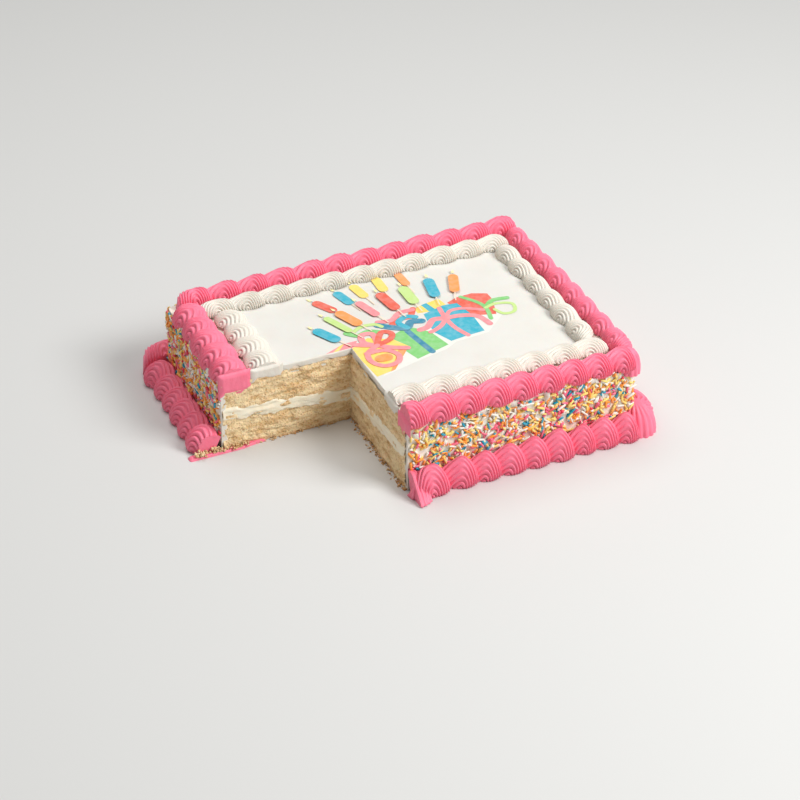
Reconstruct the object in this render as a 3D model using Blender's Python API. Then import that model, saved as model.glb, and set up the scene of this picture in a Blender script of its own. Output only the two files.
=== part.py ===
"""A rectangular iced sponge cake with one corner cut out.

Two sponge layers with cream between them stand under a coat of icing. Rows of piped shells run round the
top edge and the foot, a second paler row runs inside the first, and a thin printed sheet lies within it.

X runs along the length, Y from the front to the back, Z up. Sizes are in millimetres until the last step.
"""

import math

import bmesh
import bpy

MM = 0.001
GAP = 0.3  # left between pieces that touch

# The iced body, measured outside the icing. Its front left corner stands at the origin until the last step.
LENGTH = 291.0
DEPTH = 212.0
TOP = 60.5
ICING_WALL = 3.2
ICING_ROOF = 7.0
CORNER_RADIUS = 4.0
CORNER_STEPS = 4

# The corner that is gone: everything in front of CUT_Y and left of CUT_X.
CUT_X = 105.0
CUT_Y = 100.0

# The cream lies level at the outside and sags towards the inner corner of the cut.
CREAM_LEVEL = 30.0
CREAM_SAG = 11.0
CREAM_SAG_REACH = 62.0
CREAM_THICKNESS = 10.0
GRID_X = (0.0, 0.12, 0.24, 0.48, 0.74, 1.0)
GRID_Y = (0.0, 0.25, 0.5, 0.75, 1.0)

# The printed sheet runs a little way under the pale shells.
SHEET_THICKNESS = 0.6
SHEET_LEFT = 46.0
SHEET_RIGHT = 266.0
SHEET_FRONT = 35.0
SHEET_BACK = 185.0

# How far each row of shells reaches in from the wall: the outer row first, then the pale one.
PINK_IN = {"front": 15.5, "right": 11.0, "back": 13.0, "left": 24.0}
WHITE_IN = {"front": 38.5, "right": 29.0, "back": 31.0, "left": 51.0}
PINK_OVERHANG = {"front": 6.0, "right": 6.0, "back": 6.0, "left": 2.5}
PINK_CREST = 73.0
WHITE_CREST = 70.5
HOOK_DEPTH = 4.5

# The row at the foot: how far it stands out, how high its crest is, and how high it meets the wall.
FOOT_OUT = {"front": 17.0, "right": 22.0, "back": 20.0, "left": 24.0}
FOOT_CREST = {"front": 24.0, "right": 23.0, "back": 23.0, "left": 20.0}
FOOT_WALL = {"front": 18.0, "right": 17.0, "back": 17.0, "left": 12.0}

SHELLS = {
    "pink_top_front": 9,
    "pink_top_right": 8,
    "pink_top_back": 12,
    "pink_top_left": 5,
    "white_top_front": 7,
    "white_top_right": 6,
    "white_top_back": 11,
    "white_top_left": 4,
    "pink_foot_front": 9,
    "pink_foot_right": 9,
    "pink_foot_back": 14,
    "pink_foot_left": 6,
}
FRONT_STRETCH = 0.1  # along the front the first shells are this much longer than the mean
FRONT_FOOT_RUN_ON = 6.0  # the last shell of the front foot row is cut this much short
FRONT_TOP_START = 7.0  # the cut passes this far into the first shell of the front top row
BACK_TOP_START = 11.0
RIGHT_FOOT_START = 2.0
BACK_FOOT_START = -9.0

# One shell, from its tail to its head: where along the pitch each ring lies, and its size.
SHELL_RINGS = ((0.05, 0.70), (0.36, 0.88), (0.68, 1.0), (0.98, 0.93))
HEAD_BULGE = 0.5  # how far the ends of a ring lag behind its middle, against the pitch
CURL_AT = 0.2  # where round the section the ring runs furthest ahead, from the curled side
# A row that isn't sliced is rounded off: how far each end reaches, against the pitch, and the
# size it closes with.
TAIL = 0.56
TAIL_RING = 0.6
BLUNT_TAIL = 0.93  # the least size of a ring in the first shell
NOSE = 0.06
NOSE_RING = 0.42

TORN_LENGTH = 8.0
TORN_OUT = 25.0
TORN_HEIGHT = 20.0
SMEAR_THICKNESS = 2.2

COLOURS = {
    "pink_icing": (0.93, 0.13, 0.27, 1.0),
    "white_icing": (0.90, 0.86, 0.78, 1.0),
    "icing": (0.88, 0.83, 0.74, 1.0),
    "sponge": (0.66, 0.46, 0.22, 1.0),
    "cream": (0.86, 0.80, 0.66, 1.0),
    "printed_sheet": (0.90, 0.87, 0.80, 1.0),
}


def clear_scene():
    for obj in list(bpy.data.objects):
        bpy.data.objects.remove(obj)


def make_collection(name):
    collection = bpy.data.collections.new(name)
    bpy.context.scene.collection.children.link(collection)
    return collection


def make_material(name, roughness):
    material = bpy.data.materials.new(name)
    material.use_nodes = True
    shader = material.node_tree.nodes["Principled BSDF"]
    shader.inputs["Base Color"].default_value = COLOURS[name]
    shader.inputs["Roughness"].default_value = roughness
    material.diffuse_color = COLOURS[name]
    return material


def make_object(name, points, faces, collection, material=None):
    mesh = bpy.data.meshes.new(name)
    mesh.from_pydata([(x * MM, y * MM, z * MM) for x, y, z in points], [], faces)
    shape = bmesh.new()
    shape.from_mesh(mesh)
    bmesh.ops.recalc_face_normals(shape, faces=shape.faces)
    shape.to_mesh(mesh)
    shape.free()
    obj = bpy.data.objects.new(name, mesh)
    collection.objects.link(obj)
    if material:
        mesh.materials.append(material)
    return obj


def prism(name, outline, low, high, collection, material=None):
    """A closed solid with the same outline from low to high."""
    count = len(outline)
    points = [(x, y, low) for x, y in outline] + [(x, y, high) for x, y in outline]
    sides = [(i, (i + 1) % count, (i + 1) % count + count, i + count) for i in range(count)]
    faces = [tuple(range(count)), tuple(range(count, 2 * count)), *sides]
    return make_object(name, points, faces, collection, material)


def rounded_rectangle(x0, y0, x1, y1, radius):
    outline = []
    corners = ((x1, y1, 0), (x0, y1, 90), (x0, y0, 180), (x1, y0, 270))
    for x, y, turn in corners:
        centre_x = x - radius if x == x1 else x + radius
        centre_y = y - radius if y == y1 else y + radius
        for step in range(CORNER_STEPS + 1):
            angle = math.radians(turn + 90.0 * step / CORNER_STEPS)
            outline.append((centre_x + radius * math.cos(angle), centre_y + radius * math.sin(angle)))
    return outline


def rectangle(x0, y0, x1, y1):
    return [(x0, y0), (x1, y0), (x1, y1), (x0, y1)]


def boolean(target, other, operation):
    other.display_type = "WIRE"
    other.hide_render = True
    modifier = target.modifiers.new(f"{operation.lower()} {other.name}", "BOOLEAN")
    modifier.operation = operation
    modifier.solver = "EXACT"
    modifier.object = other


def cream_floor(x, y):
    far = math.hypot(x - CUT_X, y - CUT_Y) / CREAM_SAG_REACH
    return CREAM_LEVEL - CREAM_SAG * math.exp(-far * far / 2)


def layer(name, low, high, collection, material):
    """A slab inside the icing between two surfaces, low(x, y) and high(x, y), with the corner left out."""
    inside = ICING_WALL + GAP
    right = LENGTH - inside
    back = DEPTH - inside
    lines_x = [inside + (CUT_X - inside) * share for share in (0.0, 0.25, 0.5, 0.75)]
    lines_x += [CUT_X + (right - CUT_X) * share for share in GRID_X]
    lines_y = [inside + (CUT_Y - inside) * share for share in (0.0, 0.25, 0.5, 0.75)]
    lines_y += [CUT_Y + (back - CUT_Y) * share for share in GRID_Y]
    index = {}
    points = []
    for i, x in enumerate(lines_x):
        for j, y in enumerate(lines_y):
            for level, surface in enumerate((low, high)):
                index[i, j, level] = len(points)
                points.append((x, y, surface(x, y)))
    cells = set()
    for i in range(len(lines_x) - 1):
        for j in range(len(lines_y) - 1):
            if lines_x[i + 1] > CUT_X or lines_y[j + 1] > CUT_Y:
                cells.add((i, j))
    faces = []
    for i, j in sorted(cells):
        corners = [(i, j), (i + 1, j), (i + 1, j + 1), (i, j + 1)]
        beyond = [(i, j - 1), (i + 1, j), (i, j + 1), (i - 1, j)]
        for level in (0, 1):
            faces.append(tuple(index[a, b, level] for a, b in corners))
        for side in range(4):
            if beyond[side] in cells:
                continue
            first = corners[side]
            second = corners[(side + 1) % 4]
            faces.append((index[*first, 0], index[*second, 0], index[*second, 1], index[*first, 1]))
    used = sorted({corner for face in faces for corner in face})
    fresh = {old: new for new, old in enumerate(used)}
    points = [points[old] for old in used]
    faces = [tuple(fresh[corner] for corner in face) for face in faces]
    return make_object(name, points, faces, collection, material)


def place(side, along, out, height):
    """A point given along one wall, outwards from it and above the ground."""
    if side == "front":
        return (along, -out, height)
    if side == "back":
        return (along, DEPTH + out, height)
    if side == "left":
        return (-out, along, height)
    return (LENGTH + out, along, height)


def pink_top_section(side):
    """(out, height) points from the outer foot over the crest to the inner foot, then those underneath."""
    out = PINK_OVERHANG[side]
    reach = PINK_IN[side]
    middle = (out - reach) / 2
    half = (out + reach) / 2
    crest = PINK_CREST - TOP
    over = [
        (GAP + 0.6 * (out - GAP), TOP - HOOK_DEPTH),
        (out, TOP),
        (middle + 0.84 * half, TOP + 0.52 * crest),
        (middle + 0.52 * half, TOP + 0.85 * crest),
        (middle + 0.1 * half, PINK_CREST),
        (middle - 0.4 * half, TOP + 0.92 * crest),
        (middle - 0.8 * half, TOP + 0.62 * crest),
        (-reach, TOP + 0.2 * crest),
    ]
    under = [(-reach, TOP + GAP), (GAP, TOP + GAP), (GAP, TOP - 0.7 * HOOK_DEPTH)]
    return over, under, (middle, TOP + GAP)


def white_top_section(side):
    outer = -PINK_IN[side] - GAP
    inner = -WHITE_IN[side]
    base = TOP + SHEET_THICKNESS + 2 * GAP
    middle = (outer + inner) / 2
    half = (outer - inner) / 2
    crest = WHITE_CREST - base
    over = [
        (outer, base + 0.3 * crest),
        (middle + 0.78 * half, base + 0.7 * crest),
        (middle + 0.4 * half, base + 0.95 * crest),
        (middle, WHITE_CREST),
        (middle - 0.42 * half, base + 0.9 * crest),
        (middle - 0.78 * half, base + 0.62 * crest),
        (inner, base + 0.18 * crest),
    ]
    under = [(inner, base), (outer, base)]
    return over, under, (middle, base)


def foot_section(side):
    out = FOOT_OUT[side]
    crest = FOOT_CREST[side]
    over = [
        (0.93 * out, 0.0),
        (out, 0.16 * crest),
        (0.96 * out, 0.42 * crest),
        (0.84 * out, 0.70 * crest),
        (0.62 * out, 0.92 * crest),
        (0.38 * out, crest),
        (0.16 * out, 0.5 * (crest + FOOT_WALL[side])),
    ]
    under = [(GAP, FOOT_WALL[side]), (GAP, 0.0)]
    return over, under, (0.3 * out, 0.0)


def ring_points(side, section, along, lag, size, curl_outside, closing=False):
    """One ring of a shell. The part over the top takes the size, and its ends lag behind its middle. The
    part under it keeps its place, except that a closing ring is smaller all round."""
    over, under, core = section
    count = len(over)
    points = []
    for i, (out, height) in enumerate(over):
        share = i / (count - 1) if curl_outside else 1 - i / (count - 1)
        lead = math.sqrt(max(0.0, 1 - ((share - CURL_AT) / 0.9) ** 2))
        new_out = core[0] + size * (out - core[0])
        new_height = core[1] + size * (height - core[1])
        if core[1] > 0 and new_height < core[1]:
            new_out = max(new_out, GAP + 0.2)
        points.append((along - lag * (1 - lead), new_out, new_height))
    for out, height in under:
        if closing:
            height = core[1] + size * (height - core[1])
            if out != GAP:
                out = core[0] + size * (out - core[0])
        points.append((along - lag, out, height))
    return [place(side, *point) for point in points]


def shell_row(name, side, section, run, keep, curl_outside, collection, cutters, material):
    """A row of shells joined into one solid, over run = (start, end). Where keep gives a place, the row is
    sliced flat across there. Where it gives None, that end is rounded off."""
    shells = SHELLS[name]
    start, end = run
    pitch = (end - start) / shells
    stretch = FRONT_STRETCH if side == "front" else 0.0
    first = 0 if keep[0] is None else -1
    last = shells if keep[1] is None else shells + 1
    lag = HEAD_BULGE * pitch
    tail = start + (first - TAIL) * pitch
    rings = [ring_points(side, section, tail, 0.0, TAIL_RING, curl_outside, closing=True)]
    for shell in range(first, last):
        for share, size in SHELL_RINGS:
            if shell == first:
                size = max(size, BLUNT_TAIL)
            part = (shell + share) / shells
            along = start + (end - start) * (part + stretch * part * (1 - part))
            rings.append(ring_points(side, section, along, lag, size, curl_outside))
    nose = along + NOSE * pitch
    rings.append(ring_points(side, section, nose, lag, NOSE_RING, curl_outside, closing=True))
    count = len(rings[0])
    points = [point for ring in rings for point in ring]
    faces = [tuple(range(count)), tuple(range(len(points) - count, len(points)))]
    for ring in range(len(rings) - 1):
        base = ring * count
        for i in range(count):
            j = (i + 1) % count
            faces.append((base + i, base + j, base + count + j, base + count + i))
    row = make_object(name, points, faces, collection, material)
    low = start - LENGTH if keep[0] is None else keep[0]
    high = end + LENGTH if keep[1] is None else keep[1]
    if keep != (None, None):
        ends = [place(side, low, -LENGTH, 0)[:2], place(side, high, LENGTH, 0)[:2]]
        outline = rectangle(*ends[0], *ends[1])
        slab = prism(f"{name}_keep", outline, -TOP, 3 * TOP, cutters)
        boolean(row, slab, "INTERSECT")
    return row


def build_body(cake, cutters, materials):
    layer("sponge_lower", lambda x, y: 0.0, cream_floor, cake, materials["sponge"])
    layer(
        "filling_cream",
        lambda x, y: cream_floor(x, y) + GAP,
        lambda x, y: cream_floor(x, y) + CREAM_THICKNESS,
        cake,
        materials["cream"],
    )
    layer(
        "sponge_upper",
        lambda x, y: cream_floor(x, y) + CREAM_THICKNESS + GAP,
        lambda x, y: TOP - ICING_ROOF - GAP,
        cake,
        materials["sponge"],
    )
    outline = rounded_rectangle(0, 0, LENGTH, DEPTH, CORNER_RADIUS)
    coat = prism("icing_coat", outline, 0, TOP, cake, materials["icing"])
    wall = ICING_WALL
    inside = rectangle(wall, wall, LENGTH - wall, DEPTH - wall)
    boolean(coat, prism("coat_hollow", inside, -TOP, TOP - ICING_ROOF, cutters), "DIFFERENCE")
    gone = rectangle(-LENGTH, -DEPTH, CUT_X, CUT_Y)
    boolean(coat, prism("cut_corner", gone, -TOP, 2 * TOP, cutters), "DIFFERENCE")
    sheet_outline = [
        (SHEET_LEFT, CUT_Y),
        (CUT_X, CUT_Y),
        (CUT_X, SHEET_FRONT),
        (SHEET_RIGHT, SHEET_FRONT),
        (SHEET_RIGHT, SHEET_BACK),
        (SHEET_LEFT, SHEET_BACK),
    ]
    low = TOP + GAP
    prism("printed_sheet", sheet_outline, low, low + SHEET_THICKNESS, cake, materials["printed_sheet"])


def build_rows(cake, cutters, materials):
    pink = materials["pink_icing"]
    white = materials["white_icing"]
    pink_back = DEPTH - PINK_IN["back"] - GAP
    white_back = DEPTH - WHITE_IN["back"] - GAP
    white_left = PINK_IN["left"] + GAP
    white_right = LENGTH - PINK_IN["right"] - GAP
    pink_front = PINK_IN["front"] + GAP
    white_front = WHITE_IN["front"] + GAP
    foot_start = CUT_X + TORN_LENGTH
    top_start = CUT_X - FRONT_TOP_START
    foot_end = LENGTH + FRONT_FOOT_RUN_ON
    right_run = (pink_front, pink_back)
    white_run = (white_front, white_back)
    across = (white_left, white_right)
    rows = (
        # name, section, run, kept from and to, curl outside, material
        ("pink_top_front", pink_top_section, (top_start, LENGTH + 5.0), (CUT_X, None), True, pink),
        ("pink_top_right", pink_top_section, right_run, right_run, False, pink),
        ("pink_top_back", pink_top_section, (BACK_TOP_START, LENGTH + 5.0), (None, None), False, pink),
        ("pink_top_left", pink_top_section, (CUT_Y, pink_back), (CUT_Y, pink_back), True, pink),
        ("white_top_front", white_top_section, (CUT_X, white_right), (CUT_X, white_right), True, white),
        ("white_top_right", white_top_section, white_run, white_run, False, white),
        ("white_top_back", white_top_section, across, across, False, white),
        ("white_top_left", white_top_section, (CUT_Y, white_back), (CUT_Y, white_back), True, white),
        ("pink_foot_front", foot_section, (foot_start, foot_end), (foot_start, LENGTH), True, pink),
        ("pink_foot_right", foot_section, (RIGHT_FOOT_START, DEPTH), (None, DEPTH), False, pink),
        ("pink_foot_back", foot_section, (BACK_FOOT_START, LENGTH + 20.0), (None, None), False, pink),
        ("pink_foot_left", foot_section, (CUT_Y, DEPTH), (CUT_Y, DEPTH), True, pink),
    )
    for name, section, run, keep, curl_outside, material in rows:
        side = name.rsplit("_", 1)[1]
        shell_row(name, side, section(side), run, keep, curl_outside, cake, cutters, material)


def build_torn_ends(cake, materials):
    """The sliced shell left at the front foot, and the smear where the left foot row was cut."""
    left = CUT_X + GAP
    right = CUT_X + TORN_LENGTH - GAP
    points = []
    for x, shrink in ((left, 1.0), (right, 0.9)):
        points += [
            (x, -GAP, 0.0),
            (x, -TORN_OUT * shrink, 0.0),
            (x, -TORN_OUT * shrink, 3.0),
            (x, -0.62 * TORN_OUT, 0.6 * TORN_HEIGHT),
            (x, -0.35 * TORN_OUT, TORN_HEIGHT * shrink),
            (x, -GAP, 0.9 * TORN_HEIGHT),
        ]
    count = 6
    faces = [tuple(range(count)), tuple(range(count, 2 * count))]
    faces += [(i, (i + 1) % count, (i + 1) % count + count, i + count) for i in range(count)]
    make_object("pink_torn_shell", points, faces, cake, materials["pink_icing"])
    outline = [
        (-26.0, CUT_Y - GAP),
        (-27.5, CUT_Y - 3.0),
        (-10.0, CUT_Y - 4.5),
        (12.0, CUT_Y - 3.5),
        (34.0, CUT_Y - GAP),
    ]
    prism("pink_smear", outline, 0.0, SMEAR_THICKNESS, cake, materials["pink_icing"])


def centre_on_ground(collections):
    """Moves everything so that the middle of the cake's footprint is at the origin, standing on Z = 0."""
    bpy.context.view_layer.update()
    graph = bpy.context.evaluated_depsgraph_get()
    low = [math.inf] * 3
    high = [-math.inf] * 3
    for obj in collections[0].objects:
        for vertex in obj.evaluated_get(graph).data.vertices:
            for axis in range(3):
                low[axis] = min(low[axis], vertex.co[axis])
                high[axis] = max(high[axis], vertex.co[axis])
    shift = ((low[0] + high[0]) / 2, (low[1] + high[1]) / 2, low[2])
    for collection in collections:
        for obj in collection.objects:
            for vertex in obj.data.vertices:
                for axis in range(3):
                    vertex.co[axis] -= shift[axis]


def main():
    clear_scene()
    cake = make_collection("birthday_cake")
    cutters = make_collection("cutters")
    cutters.hide_render = True
    materials = {name: make_material(name, 0.55) for name in COLOURS}
    build_body(cake, cutters, materials)
    build_rows(cake, cutters, materials)
    build_torn_ends(cake, materials)
    centre_on_ground((cake, cutters))


main()
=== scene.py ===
import math
from itertools import product

import bpy
import numpy as np
from bpy.props import FloatProperty, FloatVectorProperty, IntProperty, PointerProperty
from mathutils import Euler, Matrix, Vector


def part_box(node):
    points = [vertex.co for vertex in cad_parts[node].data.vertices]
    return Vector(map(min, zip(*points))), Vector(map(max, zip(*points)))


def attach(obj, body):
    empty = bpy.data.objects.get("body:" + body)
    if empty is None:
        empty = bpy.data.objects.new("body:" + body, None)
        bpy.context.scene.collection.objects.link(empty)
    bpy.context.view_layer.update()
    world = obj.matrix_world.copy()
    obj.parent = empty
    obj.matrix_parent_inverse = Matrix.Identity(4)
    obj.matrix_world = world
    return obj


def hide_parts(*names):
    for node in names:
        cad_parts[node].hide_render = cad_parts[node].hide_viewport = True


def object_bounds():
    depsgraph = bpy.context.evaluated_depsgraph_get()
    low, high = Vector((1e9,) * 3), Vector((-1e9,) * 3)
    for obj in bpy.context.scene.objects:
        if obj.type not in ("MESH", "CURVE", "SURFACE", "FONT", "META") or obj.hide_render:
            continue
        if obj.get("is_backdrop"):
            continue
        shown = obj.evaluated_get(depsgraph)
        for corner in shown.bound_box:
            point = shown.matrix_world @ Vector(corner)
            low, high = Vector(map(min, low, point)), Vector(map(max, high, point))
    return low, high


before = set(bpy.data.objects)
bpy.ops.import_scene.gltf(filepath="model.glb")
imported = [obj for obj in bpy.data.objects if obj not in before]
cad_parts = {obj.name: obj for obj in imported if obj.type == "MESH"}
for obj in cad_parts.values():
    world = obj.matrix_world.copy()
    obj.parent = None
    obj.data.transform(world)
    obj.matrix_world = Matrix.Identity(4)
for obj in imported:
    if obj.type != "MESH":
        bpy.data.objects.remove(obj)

bl_info = {
    "name": "Birthday Cake",
    "version": (1, 0, 0),
    "blender": (4, 5, 0),
    "location": "3D View > Sidebar > Cake",
    "description": "Pipes, fills, ices and sprinkles a rectangular birthday cake round its fixed frame",
    "category": "Object",
}

MM = 0.001

# The iced body. Working sizes are in millimetres from its front left corner on the ground.
COAT_LOW, COAT_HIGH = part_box("icing_coat")
ORIGIN = np.array([COAT_LOW.x, COAT_LOW.y, 0.0])
LENGTH = (COAT_HIGH.x - COAT_LOW.x) / MM
DEPTH = (COAT_HIGH.y - COAT_LOW.y) / MM
TOP = COAT_HIGH.z / MM
CORNER = 4.0  # radius of the iced body's upright corners
CUT_X = (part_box("white_top_front")[0].x - COAT_LOW.x) / MM
CUT_Y = (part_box("pink_top_left")[0].y - COAT_LOW.y) / MM
SHEET_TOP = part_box("printed_sheet")[1].z / MM

# The filling lies level at the outside and sags towards the inner corner of the cut.
CREAM_LEVEL = 30.0
CREAM_SAG = 11.0
CREAM_REACH = 62.0
CREAM_THICKNESS = 10.0

# Nothing may stand outside the whole cake's own box.
BOX_LOW, BOX_HIGH = (np.array(corner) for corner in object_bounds())


def node_box(node):
    """Lowest and highest corner of a CAD node, in millimetres from the iced body's corner."""
    low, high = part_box(node)
    return (np.array(low) - ORIGIN) / MM, (np.array(high) - ORIGIN) / MM


def clamp01(x):
    return np.clip(x, 0.0, 1.0)


def smooth_step(low, high, x):
    t = clamp01((x - low) / (high - low))
    return t * t * (3 - 2 * t)


def rough(points, size, seed=0):
    """Smooth noise from -1 to 1, with lumps of about this size."""
    scaled = np.asarray(points, float) / size + 1000.0
    cell = np.floor(scaled).astype(np.int64)
    part = scaled - cell
    part = part * part * (3 - 2 * part)
    total = np.zeros(len(scaled))
    for corner in product((0, 1), repeat=3):
        at = cell + corner
        key = at[:, 0] * 73856093 ^ at[:, 1] * 19349663 ^ at[:, 2] * 83492791 ^ seed * 2654435761
        key = (key ^ (key >> 13)) * 1274126177 & 0xFFFFFFFF
        value = ((key ^ (key >> 16)) & 0xFFFF) / 0x7FFF - 1.0
        weight = np.prod(np.where(corner, part, 1 - part), axis=1)
        total += weight * value
    return total


def layered(points, size, octaves=3, seed=0):
    total = np.zeros(len(points))
    for octave in range(octaves):
        total += rough(points, size / 2**octave, seed + octave) / 2**octave
    return total / (2 - 2 ** (1 - octaves))


def ripple(values, size, seed=0):
    """The same noise, along one line of positions."""
    flat = np.reshape(values, -1)
    return rough(np.stack([flat, flat * 0, flat * 0], axis=-1), size, seed).reshape(np.shape(values))


def grid_faces(rows, columns):
    """Quads over a grid of points that is rows by columns, in row order."""
    index = np.arange(rows * columns).reshape(rows, columns)
    corners = (index[:-1, :-1], index[:-1, 1:], index[1:, 1:], index[1:, :-1])
    return np.stack(corners, axis=-1).reshape(-1, 4)


def make_piece(name, points, faces, materials, indices=None, smooth=True):
    """A mesh object from points in millimetres."""
    mesh = bpy.data.meshes.new(name)
    placed = np.clip(np.asarray(points, float) * MM + ORIGIN, BOX_LOW, BOX_HIGH)
    mesh.from_pydata(placed.tolist(), [], [tuple(face) for face in np.asarray(faces, dtype=object)])
    for material in materials:
        mesh.materials.append(material)
    if indices is not None:
        mesh.polygons.foreach_set("material_index", np.asarray(indices, np.int32))
    mesh.polygons.foreach_set("use_smooth", np.full(len(mesh.polygons), smooth))
    mesh.validate()
    mesh.update()
    piece = bpy.data.objects.new(name, mesh)
    bpy.context.scene.collection.objects.link(piece)
    return piece


def settle(piece, slot, *nodes):
    """Joins a piece to the cake's frame."""
    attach(piece, "root")
    if nodes:
        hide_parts(*nodes)


def joined(parts):
    """Points and faces of several (points, faces) pairs as one."""
    points, faces, count = [], [], 0
    for some_points, some_faces in parts:
        points.append(some_points)
        faces.append(np.asarray(some_faces) + count)
        count += len(some_points)
    return np.concatenate(points), np.concatenate(faces)


# Materials


class Wire:
    """One value in a material, on which Python's arithmetic adds Math nodes."""

    def __init__(self, finish, socket):
        self.finish = finish
        self.socket = socket

    def math(self, operation, first, second=None):
        values = {0: first} if second is None else {0: first, 1: second}
        return self.finish.node("ShaderNodeMath", {"operation": operation}, values)

    def __add__(self, other):
        return self.math("ADD", self, other)

    def __radd__(self, other):
        return self.math("ADD", other, self)

    def __sub__(self, other):
        return self.math("SUBTRACT", self, other)

    def __rsub__(self, other):
        return self.math("SUBTRACT", other, self)

    def __mul__(self, other):
        return self.math("MULTIPLY", self, other)

    def __rmul__(self, other):
        return self.math("MULTIPLY", other, self)

    def __truediv__(self, other):
        return self.math("DIVIDE", self, other)

    def __pow__(self, other):
        return self.math("POWER", self, other)

    def clamped(self):
        settings = {"operation": "ADD", "use_clamp": True}
        return self.finish.node("ShaderNodeMath", settings, {0: self, 1: 0.0})

    def over(self, low, high):
        """0 below low and 1 above high, or the other way round."""
        return ((self - low) / (high - low)).clamped()


class Finish:
    """A material under construction."""

    def __init__(self, name, colour, roughness, **constants):
        self.material = bpy.data.materials.new(name)
        self.material.use_nodes = True
        self.tree = self.material.node_tree
        self.shader = self.tree.nodes["Principled BSDF"]
        self.shader.inputs["Base Color"].default_value = (*colour, 1.0)
        self.shader.inputs["Roughness"].default_value = roughness
        for key, value in constants.items():
            self.shader.inputs[key.replace("_", " ")].default_value = value
        self.place = self.node("ShaderNodeTexCoord", output="Object")

    def node(self, kind, settings=None, values=None, output=0):
        """Adds a node: its settings come first, then the values or links of its sockets."""
        node = self.tree.nodes.new(kind)
        for key, value in (settings or {}).items():
            setattr(node, key, value)
        for key, value in (values or {}).items():
            self.plug(value, node.inputs[key])
        return Wire(self, node.outputs[output])

    def plug(self, value, socket):
        if isinstance(value, Wire):
            self.tree.links.new(value.socket, socket)
        else:
            socket.default_value = value

    def noise(self, size, detail=2.0, rough_by=0.5, stretch=(1, 1, 1)):
        """Noise from 0 to 1 with lumps of this size in millimetres."""
        scale = tuple(part / (size * MM) for part in stretch)
        spot = self.node("ShaderNodeMapping", {"vector_type": "POINT"}, {"Vector": self.place, "Scale": scale})
        values = {"Vector": spot, "Scale": 1.0, "Detail": detail, "Roughness": rough_by}
        return self.node("ShaderNodeTexNoise", {"noise_dimensions": "3D"}, values, "Fac")

    def cells(self, size):
        """Distance from the middle of round cells of this size in millimetres."""
        values = {"Vector": self.place, "Scale": 1 / (size * MM)}
        return self.node("ShaderNodeTexVoronoi", {"feature": "F1"}, values, "Distance")

    def height(self):
        """How high a point is, in millimetres."""
        return self.node("ShaderNodeSeparateXYZ", None, {0: self.place}, "Z") * (1 / MM)

    def mix(self, first, second, factor):
        """Colours as (red, green, blue), or wires."""
        first, second = ((*c, 1.0) if isinstance(c, tuple) else c for c in (first, second))
        settings = {"data_type": "RGBA", "blend_type": "MIX"}
        return self.node("ShaderNodeMix", settings, {0: factor, 6: first, 7: second}, 2)

    def colour(self, wire):
        self.plug(wire, self.shader.inputs["Base Color"])

    def dull(self, wire):
        self.plug(wire, self.shader.inputs["Roughness"])

    def bumps(self, wire, depth):
        """Raises the surface by the wire's value times depth, in millimetres."""
        values = {"Height": wire, "Strength": 1.0, "Distance": depth * MM}
        bump = self.node("ShaderNodeBump", None, values, "Normal")
        self.plug(bump, self.shader.inputs["Normal"])


def icing_finish(name, colour, deep, roughness=0.42, shine=0.12):
    """Piped or spread icing: soft inside, with a faint sheen and fine pores."""
    finish = Finish(name, colour, roughness, Subsurface_Weight=shine, Subsurface_Scale=0.004)
    finish.shader.inputs["Subsurface Radius"].default_value = (1.0, 0.55, 0.45)
    patches = finish.noise(9.0, 3.0)
    grain = finish.noise(0.9, 2.0)
    finish.colour(finish.mix(colour, deep, patches.over(0.35, 0.75) * 0.5 + grain.over(0.5, 0.8) * 0.2))
    finish.dull(roughness + patches * 0.16)
    finish.bumps(grain + finish.noise(2.6, 2.0) * 1.5, 0.12)
    return finish.material


def sponge_finish(name, light, dark, crust):
    """Open golden crumb with pores painted darker as painted shade in their hollows, browner along its crusts."""
    finish = Finish(name, light, 0.9, Subsurface_Weight=0.1, Subsurface_Scale=0.003)
    pores = finish.cells(1.9).over(0.55, 0.15)
    blotch = finish.noise(6.5, 4.0, stretch=(0.5, 0.5, 1.5))
    crumb = finish.noise(0.8, 3.0)
    # Painted shade: the pores darken the colour as shade in their hollows would; blotch and crumb are the crumb's own
    # uneven tone.
    shade = (pores * 0.45 + blotch.over(0.45, 0.62) * 0.6 + crumb.over(0.5, 0.8) * 0.35).clamped()
    body = finish.mix(light, dark, shade)
    bottom = finish.height().over(3.2, 0.6) * finish.noise(3.0, 2.0).over(0.35, 0.62)
    finish.colour(finish.mix(body, crust, bottom * 0.8))
    finish.bumps(crumb * 1.0 + finish.noise(2.0, 3.0) * 1.2 - pores * 0.8, 0.5)
    return finish.material


def sugar_finish(name, colour, shine=0.3):
    """Hard sugar rods, a little uneven in colour."""
    finish = Finish(name, colour, shine)
    pale = tuple(0.7 * part + 0.3 for part in colour)
    finish.colour(finish.mix(colour, pale, finish.noise(3.0, 1.0).over(0.45, 0.75) * 0.45))
    finish.dull(shine + finish.noise(1.0, 1.0) * 0.2)
    finish.bumps(finish.noise(0.7, 1.0), 0.06)
    return finish.material


def print_finish(name, colour):
    """A field of edible ink on icing, faintly mottled."""
    finish = Finish(name, colour, 0.6)
    pale = tuple(0.75 * part + 0.25 * 0.9 for part in colour)
    finish.colour(finish.mix(colour, pale, finish.noise(4.0, 3.0).over(0.35, 0.75) * 0.6))
    finish.bumps(finish.noise(0.8, 2.0), 0.03)
    return finish.material


# Piping


def place(side, along, out, height):
    """Points given along one wall, outwards from it and above the ground."""
    if side == "front":
        return np.stack([along, -out, height], axis=-1)
    if side == "back":
        return np.stack([along, DEPTH + out, height], axis=-1)
    if side == "left":
        return np.stack([-out, along, height], axis=-1)
    return np.stack([LENGTH + out, along, height], axis=-1)


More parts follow.
